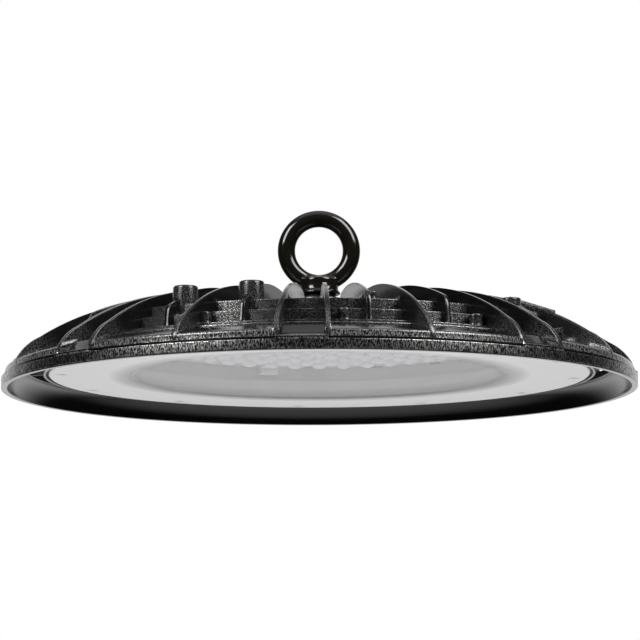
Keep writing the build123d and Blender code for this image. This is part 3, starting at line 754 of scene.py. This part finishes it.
def blade(ridge, degrees, spacing=1.25, flank_rows=13, tip=0.35):
    """Grid of a fin. Along: the ridge's points. Across: from the floor up the flank to
    one tip radius under the ridge, a quarter circle to the ridge, and the mirror image.
    The half width is the drafted one plus swell (1 - distance / reach)^2 near the body."""
    line = along(ridge, spacing)
    ahead = np.gradient(line, axis=0)
    ahead /= np.linalg.norm(ahead, axis=1, keepdims=True)
    inward = np.stack([ahead[:, 1], -ahead[:, 0]], axis=-1)
    floor = np.stack([line[:, 0], np.interp(line[:, 0], *fin_floor.T)], axis=-1)
    floor[:, 1] = np.minimum(floor[:, 1], line[:, 1])
    top = line + inward * tip
    top[:, 1] = np.maximum(top[:, 1], floor[:, 1])
    share = np.linspace(0, 1, flank_rows)[None, :, None]
    flank = floor[:, None] * (1 - share) + top[:, None] * share
    turn = np.linspace(0, np.pi / 2, 5)[1:][None, :, None]
    cap = line[:, None] + inward[:, None] * tip * (1 - np.sin(turn))
    place = np.concatenate([flank, cap], axis=1)
    draft = foot_half + (top_half - foot_half) * place[..., 1] / (ridge_top + 1)
    near = np.clip(1 - distance_to_casting(place[..., 0], place[..., 1]) / swell_reach, 0, 1)
    narrowing = np.concatenate([np.zeros((1, flank_rows)), (1 - np.cos(turn[..., 0])) * tip], axis=1)
    half = draft + swell * near**2 - narrowing
    half[:, -1] = 0
    place = np.concatenate([place, place[:, -2::-1]], axis=1)
    half = np.concatenate([half, -half[:, -2::-1]], axis=1)
    angle = np.radians(degrees)
    x = place[..., 0] * np.sin(angle) + half * np.cos(angle)
    y = -place[..., 0] * np.cos(angle) + half * np.sin(angle)
    grid = np.stack([x, y, place[..., 1]], axis=-1)
    ends = [np.broadcast_to(g.mean(0), g.shape)[None] for g in (grid[0], grid[-1])]
    return shell(np.concatenate([ends[0], grid, ends[1]]), wrap_columns=True)


def fin_angle(position):
    """Angle of a fin position, in degrees from the front towards +X."""
    return first_fin + position * sector


positions = range(fin_count)
post_positions = (6, 16, 26, 36, 18, 38)
gland_position = 20
long_positions = [k for k in positions if k % 5 in (0, 2, 4) and k != gland_position]
short_positions = [k for k in positions if k % 5 in (1, 3) and k not in post_positions]


def fin_grain(radius, height, angle):
    """Smooth flanks that get grainier towards the rim."""
    return 0.02 + 0.45 * smooth_step(radius - 0.9 * height, 116.0, 142.0)


long_mesh = new_mesh("long_fins", [blade(long_ridge, fin_angle(k)) for k in long_positions])
set_grain(long_mesh, fin_grain)
piece("long_fins", long_mesh, powder_coat, ["heat_sink"])

# %% Short fins
short_shells = [blade(short_ridge, fin_angle(k)) for k in short_positions]
short_shells += [blade(post_ridge, fin_angle(k)) for k in post_positions]
short_mesh = new_mesh("short_fins", short_shells)
set_grain(short_mesh, fin_grain)
piece("short_fins", short_mesh, powder_coat, ["heat_sink"])

# %% [markdown]
# ## Bosses
#
# Round features stand on the casting: the cone under the eye bolt, four tall posts with
# tapped holes, two low plain ones, twelve half columns for the cover's screws, a small
# nub, and the pad under the cable gland. Each is a small turned shape with a rounded top.

# %% Bosses
def column(radius, foot, top, rounding, hole=0.0, depth=0.0, flare=0.8, foot_radius=None):
    """Profile of a round boss, from the axis below to the axis on top, with a hole."""
    wide = radius if foot_radius is None else foot_radius
    corners = [
        (0.0, foot, 0.0),
        (wide + flare, foot, 0.0),
        (wide, foot + 1.6, 1.2),
        (radius, top, rounding),
    ]
    if hole:
        corners += [(hole, top, 0.3), (hole, top - depth, 0.0), (0.0, top - depth, 0.0)]
    else:
        corners += [(0.0, top, 0.0)]
    return rounded(corners, closed=False)


def standing(profile, spot, steps=40):
    """A turned profile at a spot (x, y), closed round its own axis."""
    return shell(turned(profile, full_turn(steps), spot), True)


post_top = plate_top + 9.5
bracket_post = column(6.0, ledge_top, post_top, 1.3, 2.5, 9.0, 0.0, 6.6)
line_post = column(6.0, ledge_top, post_top, 1.3, 2.1, 9.0, 0.0, 6.6)
low_post = column(5.0, ledge_top, plate_top + 7.2, 1.0, flare=0.0)
post_kinds = {16: bracket_post, 36: bracket_post, 18: line_post, 38: line_post, 6: low_post, 26: low_post}
posts = [standing(kind, on_circle(post_circle, fin_angle(k))) for k, kind in post_kinds.items()]
screw_boss = column(3.3, foot_top - 1.2, lower_wall_top - 0.5, 0.9)
screw_circle = lower_wall + 4.0
screw_angles = 5.2 + 30.0 * np.arange(12)
columns = [standing(screw_boss, on_circle(screw_circle, a), 32) for a in screw_angles]
eye_boss = column(12.5, plate_top - 0.6, 46.3, 0.6, 4.3, 6.0, 1.5, 14.1)
nub = column(2.1, plate_top - 0.8, plate_top + 3.7, 0.9, flare=0.5)
gland_circle = upper_wall - 13.6
gland_spot = on_circle(gland_circle, fin_angle(gland_position))
gland_pad = column(13.0, plate_top - 0.8, plate_top + 4.0, 0.8, 8.05, 3.9)
boss_mesh = new_mesh(
    "bosses",
    posts
    + columns
    + [
        standing(eye_boss, (0.0, 0.0), 64),
        standing(nub, on_circle(upper_wall - 3.0, 12.6), 24),
        standing(gland_pad, gland_spot, 64),
    ],
)
set_grain(boss_mesh, lambda radius, height, angle: 0.35 + 0.0 * radius)
piece("bosses", boss_mesh, powder_coat, ["heat_sink"])

# %% [markdown]
# ## Small cast details
#
# One fin carries a flat raised land on its ridge, and a small upright lug stands on the
# ring. The fin behind the cable gland is interrupted, so it is made of two blades.

# %% Land, lug and the interrupted fin
def rod(start, end, width, thickness, rounding, degrees):
    """Rounded bar in the upright plane of one angle: the rectangle width x thickness is
    carried from start to end, both (radius, height), thickness measured upwards."""
    section = rounded(
        [
            (-width / 2, 0.0, rounding),
            (width / 2, 0.0, rounding),
            (width / 2, thickness, rounding),
            (-width / 2, thickness, rounding),
        ],
        steps=4,
    )
    ends = np.array([start, start, end, end], float)
    size = np.array([0.0, 1.0, 1.0, 0.0])[:, None]
    middle = np.array([0.0, thickness / 2])
    across = (section[None, :, 0] * size)
    up = middle[1] + (section[None, :, 1] - middle[1]) * size
    radius = np.broadcast_to(ends[:, :1], across.shape)
    height = ends[:, 1:] + up
    angle = np.radians(degrees)
    x = radius * np.sin(angle) + across * np.cos(angle)
    y = -radius * np.cos(angle) + across * np.sin(angle)
    return shell(np.stack([x, y, height], axis=-1), wrap_columns=True)


land_start = slope[int(0.14 * len(slope))]
land_end = slope[int(0.57 * len(slope))]
land_foot = np.array([0.0, -1.6])
land = rod(land_start + land_foot, land_end + land_foot, 2.6, 3.0, 0.4, fin_angle(7))
lug = rod((ring_bore + 0.1, crown_foot + 1), (ring_bore + 3.0, crown_foot + 1), 2.0, 7.5, 0.6, 50.9)
inner_part = long_ridge[long_ridge[:, 0] < gland_circle - 13.2]
inner_end = inner_part[-1]
inner_ridge = np.concatenate([inner_part, [(inner_end[0] + 0.2, plate_top - 0.5)]])
outer_part = long_ridge[long_ridge[:, 0] > gland_circle + 13.2]
outer_ridge = np.concatenate([[(outer_part[0][0] - 0.2, plate_top - 2.0)], outer_part])
gland_fin = fin_angle(gland_position)
detail_mesh = new_mesh(
    "cast_details",
    [land, lug, blade(inner_ridge, gland_fin), blade(outer_ridge, gland_fin)],
)
set_grain(detail_mesh, lambda radius, height, angle: 0.4 * (radius > 100) + 0.1)
piece("cast_details", detail_mesh, powder_coat, ["heat_sink"])

# %% [markdown]
# ## Eye bolt
#
# The eye bolt is forged: a ring that flows into a round neck with a flared collar. Two
# plain surfaces that overlap give its masses, a voxel remesh makes them one skin, and a
# little smoothing rounds the places where they meet, as forging does. Last, the ring's
# points go back onto their exact surface, so that its highlights run clean.

# %% Eye bolt
eye_low, eye_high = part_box("eye_bolt")
bar = 4.25
ring_middle = 16.45
eye_centre = eye_high.z / MM - 20.7
collar_seat = eye_low.z / MM + 15.2


def bar_at(sine):
    """Radius of the bar: forging leaves it a little thicker at the ring's sides."""
    return bar + 0.2 * sine**2


def eye_ring():
    """Torus in the XZ plane: the bar's circle carried round the ring's circle."""
    round_ring, round_bar = np.meshgrid(full_turn(96), full_turn(36), indexing="ij")
    thick = bar_at(np.sin(round_ring))
    reach = ring_middle + thick * np.cos(round_bar)
    return np.stack(
        [reach * np.sin(round_ring), thick * np.sin(round_bar), eye_centre - reach * np.cos(round_ring)],
        axis=-1,
    )


neck_outline = rounded(
    [
        (0.0, collar_seat, 0.0),
        (10.7, collar_seat, 0.0),
        (11.0, collar_seat + 0.4, 0.2),
        (10.9, collar_seat + 1.0, 0.3),
        (9.6, collar_seat + 2.4, 3.0),
        (9.6, collar_seat + 8.2, 1.0),
        (3.4, collar_seat + 9.4, 1.5),
        (0.0, collar_seat + 9.4, 0.0),
    ],
    closed=False,
)
bolt_mesh = new_mesh(
    "eye_bolt_skin",
    [shell(eye_ring(), True, True), shell(turned(neck_outline, full_turn(72)), True)],
)


def forged(mesh, voxel, passes):
    """The mesh as one skin: voxel remesh, then each point moves towards the average of
    its neighbours, once per pass."""
    thing = bpy.data.objects.new(mesh.name, mesh)
    bpy.context.scene.collection.objects.link(thing)
    remesh = thing.modifiers.new("one_skin", "REMESH")
    remesh.mode = "VOXEL"
    remesh.voxel_size = voxel
    smooth = thing.modifiers.new("soften", "SMOOTH")
    smooth.factor = 0.5
    smooth.iterations = passes
    graph = bpy.context.evaluated_depsgraph_get()
    made = bpy.data.meshes.new_from_object(thing.evaluated_get(graph))
    bpy.data.objects.remove(thing)
    return made


def true_ring(mesh):
    """Points above the neck go back onto the exact torus: the offset from the ring's
    middle circle is scaled to the bar's radius."""
    spot = coords(mesh) - np.array([0.0, 0.0, eye_centre])
    flat = spot * np.array([1.0, 0.0, 1.0])
    middle = flat / np.linalg.norm(flat, axis=1, keepdims=True) * ring_middle
    offset = spot - middle
    thick = bar_at(middle[:, :1] / ring_middle)
    exact = middle + offset / np.linalg.norm(offset, axis=1, keepdims=True) * thick
    share = smooth_step(spot[:, 2:], -12.0, -8.0)
    spot = spot * (1 - share) + exact * share + np.array([0.0, 0.0, eye_centre])
    mesh.vertices.foreach_set("co", (spot * MM).astype(np.float32).ravel())
    return mesh


piece("eye_bolt_forging", true_ring(forged(bolt_mesh, 0.42 * MM, 6)), black_steel, ["eye_bolt"], 60.0)

# %% Spring washer
def split_washer(inner, outer, low, high, gap, rise):
    """Square wire bent to a ring that is open by gap degrees at the back: its height
    climbs by rise from one end to the other."""
    section = rounded([(inner, low, 0.2), (outer, low, 0.2), (outer, high, 0.2), (inner, high, 0.2)])
    angles = np.radians(np.linspace(180 + gap / 2, 540 - gap / 2, 73))
    grid = turned(section, angles)
    grid[..., 2] += (np.linspace(-0.5, 0.5, 73) * rise)[:, None]
    ends = [np.broadcast_to(g.mean(0), g.shape)[None] for g in (grid[0], grid[-1])]
    return shell(np.concatenate([ends[0], grid, ends[1]]), wrap_columns=True)


washer_low, washer_high = (corner.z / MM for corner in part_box("spring_washer"))
washer = split_washer(4.6, 8.5, washer_low + 0.1, washer_high - 0.1, 11.0, 0.2)
piece("spring_washer_ring", new_mesh("washer", [washer]), washer_steel, ["spring_washer"])

# %% [markdown]
# ## Under the cover
#
# The white reflector ring lines the cavity, and its step catches the light as two bands.
# The lens plate carries 127 domes in six rings, one over each chip. A dome is a quarter
# ellipse turned about its own axis, with few faces because there are so many.

# %% Reflector
reflector_foot = 9.2
step_height = 18.0
bore = 105.0
reflector_outline = rounded(
    [
        (bore, reflector_foot, 0.5),
        (123.9, reflector_foot, 0.2),
        (123.9, seat, 0.2),
        (bore + 1.5, seat, 0.2),
        (bore + 1.5, step_height - 1.2, 0.2),
        (109.2, step_height - 1.2, 0.2),
        (109.2, 26.0, 0.2),
        (108.0, 26.0, 0.2),
        (108.0, step_height, 0.6),
        (bore + 0.3, step_height, 0.8),
    ]
)
reflector_mesh = new_mesh("reflector_ring", [shell(turned(reflector_outline, full_turn(240)), True, True)])
piece("reflector_ring", reflector_mesh, white_plastic, ["reflector"])

# %% Lens plate with its domes
dome_pitch = 12.2
dome_radius = 4.9
dome_height = 3.7
lens_low, lens_high = (corner.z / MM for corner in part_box("lens_array"))
plate_face = lens_low + dome_height


def dome_spots():
    """Centres of the rings of domes: ring n has 6 n of them, n pitches from the middle."""
    ring = np.repeat(np.arange(1, 7), 6 * np.arange(1, 7))
    step = np.concatenate([np.arange(6 * n) for n in range(1, 7)])
    angle = 2 * np.pi * step / (6 * ring) + np.pi / 2
    spots = np.stack([ring * dome_pitch * np.sin(angle), -ring * dome_pitch * np.cos(angle)], axis=-1)
    return np.concatenate([[[0.0, 0.0]], spots])


def dome(spot):
    """Quarter ellipse turned about its axis: radius times cos a, depth times sin a."""
    a = np.linspace(0, np.pi / 2, 7)
    profile = np.stack([dome_radius * np.cos(a), plate_face - dome_height * np.sin(a)], axis=-1)
    profile = np.concatenate([[(0.0, plate_face + 0.2)], [(dome_radius, plate_face + 0.2)], profile])
    return shell(turned(profile, full_turn(18), spot), True)


plate_outline = rounded(
    [
        (0.0, plate_face, 0.0),
        (80.5, plate_face, 0.3),
        (80.5, lens_high, 0.2),
        (79.3, lens_high, 0.2),
        (79.3, plate_face + 0.7, 0.2),
        (0.0, plate_face + 0.7, 0.0),
    ],
    closed=False,
)
lens_shells = [shell(turned(plate_outline, full_turn(120)), True)]
lens_shells += [dome(spot) for spot in dome_spots()]
piece("lens_plate", new_mesh("lens_plate", lens_shells), lens_plastic, ["lens_array"])


# %% [markdown]
# ## Screws
#
# The cover is held by twelve countersunk screws with hexagonal sockets, and the board by
# six pan heads. A socket is a turned profile whose radius follows a hexagon near the
# axis and a circle outside.

# %% Screws
def socket_screw(spot, head, foot, top, socket, depth, point, core):
    """Head from foot up to top with a hexagonal socket in its lower face, and a plain
    core up to point. The hexagon's share falls from 1 at the socket to 0 outside it."""
    outline = np.array(
        [
            (0.0, foot + depth),
            (socket * 0.97, foot + depth),
            (socket, foot + 0.12),
            (socket * 1.12, foot),
            (head - 0.3, foot),
            (head, foot + 0.3),
            (head, top),
            (core, top),
            (core, point),
            (0.0, point),
        ]
    )
    hexed = np.array([1, 1, 1, 0.6, 0, 0, 0, 0, 0, 0], float)
    angles = full_turn(36)
    step = np.pi / 3
    reach = 1 / np.cos((angles + step / 2) % step - step / 2)
    radius = outline[None, :, 0] * (1 + hexed[None, :] * (reach[:, None] - 1))
    x = spot[0] + radius * np.sin(angles)[:, None]
    y = spot[1] - radius * np.cos(angles)[:, None]
    z = np.broadcast_to(outline[:, 1], radius.shape)
    return shell(np.stack([x, y, z], axis=-1), True)


cover_face = 7.0
cover_screws = [
    socket_screw(on_circle(screw_circle, a), 3.1, cover_face, 8.5, 1.5, 0.9, 19.4, 1.6)
    for a in screw_angles
]
piece("cover_screws", new_mesh("cover_screws", cover_screws), screw_steel, ["lens_screws"])
board_screws = [
    socket_screw(on_circle(93.3, a), 2.8, 23.2, 25.0, 1.3, 0.8, 28.9, 1.3)
    for a in -162.5 + 60.0 * np.arange(6)
]
piece("board_screw_heads", new_mesh("board_screws", board_screws), screw_steel, ["board_screws"])

# %% [markdown]
# ## Cable gland
#
# The gland on the far side is moulded nylon: a hexagon, a threaded neck and a domed cap
# with flats for a spanner. Prisms are turned shapes too, when the radius follows the
# hexagon.

# %% Gland
gland_seat = plate_top + 4.0
hex_half = 11.0


def prism(profile, steps=72):
    """A turned profile whose radius follows a hexagon with flats at that radius."""
    angles = full_turn(steps) + np.radians(first_fin)
    return shell(turned(profile, angles, gland_spot, sides=6), True, False)


hexagon = rounded(
    [
        (4.5, gland_seat + 1.5, 0.2),
        (hex_half, gland_seat + 1.5, 0.5),
        (hex_half, gland_seat + 6.5, 0.5),
        (4.5, gland_seat + 6.5, 0.2),
    ]
)
neck = rounded(
    [
        (4.5, gland_seat - 6.8, 0.2),
        (8.0, gland_seat - 6.8, 0.5),
        (8.0, gland_seat + 2.0, 0.3),
        (7.6, gland_seat + 6.0, 0.3),
        (7.6, gland_seat + 14.5, 0.3),
        (4.5, gland_seat + 14.5, 0.2),
    ]
)
gland_angles = full_turn(72) + np.radians(first_fin)
gland_shells = [
    shell(turned(hexagon, gland_angles, gland_spot, sides=6), True, True),
    shell(turned(neck, gland_angles, gland_spot), True, True),
]
piece("gland_body_moulding", new_mesh("gland_body", gland_shells), gland_plastic, ["gland_body"])
cap_low, cap_high = (corner.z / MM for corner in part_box("gland_cap"))
cap = rounded(
    [
        (7.65, cap_low, 0.2),
        (hex_half, cap_low, 0.6),
        (hex_half, cap_high - 5.0, 0.8),
        (hex_half - 3.0, cap_high, 2.2),
        (4.6, cap_high, 0.5),
        (4.6, cap_high - 4.0, 0.3),
        (7.65, cap_high - 5.4, 0.2),
    ]
)
cap_shell = shell(turned(cap, gland_angles, gland_spot, sides=6), True, True)
piece("gland_cap_moulding", new_mesh("gland_cap", [cap_shell]), gland_plastic, ["gland_cap"])

# %% [markdown]
# ## Nodes that stay
#
# Flat and boxy parts gain nothing from a new mesh, so their CAD nodes stay and only get
# their finishes.

# %% Finishes of the kept nodes
kept_finishes = {
    "lens_cover": clear_cover,
    "lens_gasket": gasket_rubber,
    "led_board": board_white,
    "led_chips": led_yellow,
    "thermal_pad": pad_grey,
    "terminal_block": block_plastic,
    "rectifier": chip_black,
    "fuse": fuse_green,
    "varistor": varistor_blue,
    "driver_chips": chip_black,
    "sense_resistors": chip_black,
    "earth_screw": screw_steel,
    "gland_o_ring": gland_rubber,
    "gland_seal": gland_rubber,
}
for name, material in kept_finishes.items():
    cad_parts[name].data.materials.clear()
    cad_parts[name].data.materials.append(material)
print("Kept nodes:", len(kept_finishes))

# %% [markdown]
# ## Studio
#
# Two tall softboxes stand left and right of the camera: their reflections are the two
# bright lines on every round post and on the ring of the eye bolt. A dim light from
# below lifts the white parts under the cover. The backdrop is the world: white for the
# camera, and for gloss white behind the lamp and pale straight above and below it,
# because in front of it is the dark room. The floor is far below, so that the lamp
# seems to hang.

# %% Lamps
def softbox(name, azimuth, elevation, distance, width, height, power, glossy=True):
    """Area lamp on a sphere round the lamp, turned towards it. Azimuth is measured from
    the front towards +X."""
    data = bpy.data.lights.new(name, "AREA")
    data.shape = "RECTANGLE"
    data.size = width
    data.size_y = height
    data.energy = power
    lamp = bpy.data.objects.new(name, data)
    bpy.context.scene.collection.objects.link(lamp)
    a, e = np.radians(azimuth), np.radians(elevation)
    back = Vector((np.sin(a) * np.cos(e), -np.cos(a) * np.cos(e), np.sin(e)))
    lamp.location = back * distance
    lamp.rotation_mode = "QUATERNION"
    lamp.rotation_quaternion = back.to_track_quat("Z", "Y")
    lamp.visible_camera = False
    lamp.visible_glossy = glossy
    return lamp


softbox("right_box", 55, 43, 1.8, 0.85, 1.32, 38)
softbox("left_box", -51, 34, 1.8, 0.7, 0.85, 27)
softbox("low_fill", 0, -84, 1.4, 1.8, 1.8, 15.5, glossy=False)
softbox("back_fill", 180, 25, 2.2, 2.0, 1.2, 16, glossy=False)
print("Lamps:", len(bpy.data.lights))


# %% Backdrop and floor
def make_backdrop():
    """World: 1 for camera and transmission rays. For all other rays the brightness rises
    with the direction's Y, from a dim front to the white behind, and again straight
    below, where the pale floor is, and a little straight above."""
    world = bpy.data.worlds.new("backdrop")
    bpy.context.scene.world = world
    world.use_nodes = True
    nodes, links = world.node_tree.nodes, world.node_tree.links
    background = nodes["Background"]
    where = nodes.new("ShaderNodeTexCoord")
    split = nodes.new("ShaderNodeSeparateXYZ")
    behind = nodes.new("ShaderNodeMapRange")
    behind.interpolation_type = "SMOOTHSTEP"
    behind.inputs["From Min"].default_value = 0.6
    behind.inputs["From Max"].default_value = 0.95
    behind.inputs["To Min"].default_value = 0.012
    behind.inputs["To Max"].default_value = 1.0
    below = nodes.new("ShaderNodeMapRange")
    below.interpolation_type = "SMOOTHSTEP"
    below.inputs["From Min"].default_value = -0.55
    below.inputs["From Max"].default_value = -0.97
    below.inputs["To Max"].default_value = 0.8
    above = nodes.new("ShaderNodeMapRange")
    above.interpolation_type = "SMOOTHSTEP"
    above.inputs["From Min"].default_value = 0.75
    above.inputs["From Max"].default_value = 0.97
    above.inputs["To Max"].default_value = 0.8
    around = nodes.new("ShaderNodeMath")
    around.operation = "MAXIMUM"
    top_too = nodes.new("ShaderNodeMath")
    top_too.operation = "MAXIMUM"
    ray = nodes.new("ShaderNodeLightPath")
    seen = nodes.new("ShaderNodeMath")
    seen.operation = "MAXIMUM"
    level = nodes.new("ShaderNodeMath")
    level.operation = "MAXIMUM"
    links.new(where.outputs["Generated"], split.inputs["Vector"])
    links.new(split.outputs["Y"], behind.inputs["Value"])
    links.new(ray.outputs["Is Camera Ray"], seen.inputs[0])
    links.new(ray.outputs["Is Transmission Ray"], seen.inputs[1])
    links.new(seen.outputs["Value"], level.inputs[0])
    links.new(split.outputs["Z"], below.inputs["Value"])
    links.new(behind.outputs["Result"], around.inputs[0])
    links.new(below.outputs["Result"], around.inputs[1])
    links.new(split.outputs["Z"], above.inputs["Value"])
    links.new(around.outputs["Value"], top_too.inputs[0])
    links.new(above.outputs["Result"], top_too.inputs[1])
    links.new(top_too.outputs["Value"], level.inputs[1])
    links.new(level.outputs["Value"], background.inputs["Strength"])
    background.inputs["Color"].default_value = (1.0, 1.0, 1.0, 1.0)


make_backdrop()
floor_height = -3.0
floor_half = 9.0
floor_mesh = bpy.data.meshes.new("floor")
floor_corners = [
    (-floor_half, -floor_half, floor_height),
    (floor_half, -floor_half, floor_height),
    (floor_half, floor_half, floor_height),
    (-floor_half, floor_half, floor_height),
]
floor_mesh.from_pydata(floor_corners, [], [(0, 1, 2, 3)])
floor = bpy.data.objects.new("floor", floor_mesh)
bpy.context.scene.collection.objects.link(floor)
floor.visible_glossy = False


def make_floor_finish():
    """Pale and matt, and lifted towards white for camera rays, as the backdrop is."""
    material = uneven_finish("pale_floor", (0.82, 0.82, 0.82), 0.7, 0.02, 3.0)
    nodes, links = material.node_tree.nodes, material.node_tree.links
    ray = nodes.new("ShaderNodeLightPath")
    lift = nodes.new("ShaderNodeMath")
    lift.operation = "MULTIPLY"
    lift.inputs[1].default_value = 0.6
    shader = nodes["Principled BSDF"]
    shader.inputs["Emission Color"].default_value = (1.0, 1.0, 1.0, 1.0)
    links.new(ray.outputs["Is Camera Ray"], lift.inputs[0])
    links.new(lift.outputs["Value"], shader.inputs["Emission Strength"])
    return material


floor_mesh.materials.append(make_floor_finish())
print("Floor height:", floor_height)

# %% [markdown]
# ## Camera
#
# The camera stands nearly two metres away and a little below the rim, and looks up at
# the lamp by about seven degrees, so that the cover shows as a flat ellipse.

# %% Camera
camera_data = bpy.data.cameras.new("camera")
camera_data.lens = 214.3
camera_data.sensor_width = 36.0
camera_data.clip_start = 0.05
camera_data.clip_end = 50.0
camera = bpy.data.objects.new("camera", camera_data)
bpy.context.scene.collection.objects.link(camera)
camera.location = (0.0, -1.9062, -0.2296)
aim = Vector((0.0004, 0.0, 0.03575))
camera.rotation_mode = "QUATERNION"
roll = Quaternion((0.0, 0.0, 1.0), -0.0045)
camera.rotation_quaternion = (aim - camera.location).to_track_quat("-Z", "Y") @ roll
bpy.context.scene.camera = camera
bpy.context.scene.view_settings.view_transform = "Standard"
print("Camera at", tuple(round(v, 3) for v in camera.location))
